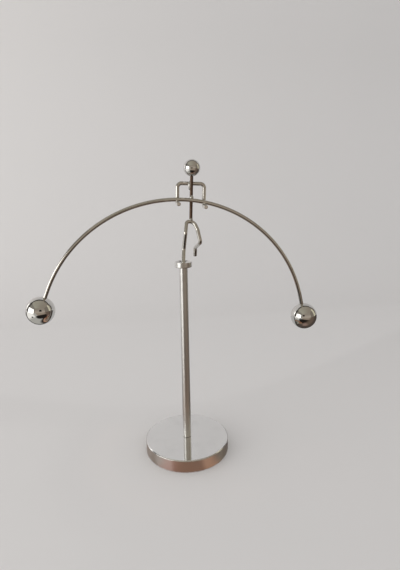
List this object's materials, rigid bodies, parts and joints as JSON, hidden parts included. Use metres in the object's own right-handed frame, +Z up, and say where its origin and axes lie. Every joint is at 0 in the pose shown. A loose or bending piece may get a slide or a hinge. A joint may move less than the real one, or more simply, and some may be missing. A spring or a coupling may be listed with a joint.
{
  "type": "balancing toy",
  "caption": "Polished wire tightrope walker with a drooping ball-weighted beam, balancing on one toe in a small cup on a round-based post; it rocks and turns when pushed.",
  "frame": {"origin": "centre of the base disc's underside, on the surface it stands on", "axes": "+Z up along the post, +X along the beam to the walker's weight on the side of the raised leg, -Y the way the walker faces"},
  "size_m": [0.1729, 0.052, 0.178],
  "materials": {
    "polished_steel": "mirror polished",
    "browned_steel": "steel wire browned by the heat of soldering",
    "satin_steel": "turned and lightly polished",
    "solder": "bright tin solder as it set"
  },
  "bodies": {
    "stand": {"base_disc": "satin_steel", "post": "polished_steel"},
    "cup": {"cup": "polished_steel"},
    "walker": {"legs": "polished_steel", "spine": "browned_steel", "arms": "polished_steel", "head_ball": "polished_steel", "beam": "polished_steel", "left_weight": "polished_steel", "right_weight": "polished_steel", "hip_solder": "solder", "waist_solder": "solder", "shoulder_solder": "solder"}
  },
  "joints": [
    {"name": "spin", "type": "hinge", "parent": "stand", "child": "cup", "pos_m": [0, 0, 0.11755], "axis": [0, 0, 1], "continuous": true},
    {"name": "rock", "type": "hinge", "parent": "cup", "child": "walker", "pos_m": [0, 0, 0.12036], "axis": [0, 1, 0], "range_deg": [-40, 40]}
  ]
}
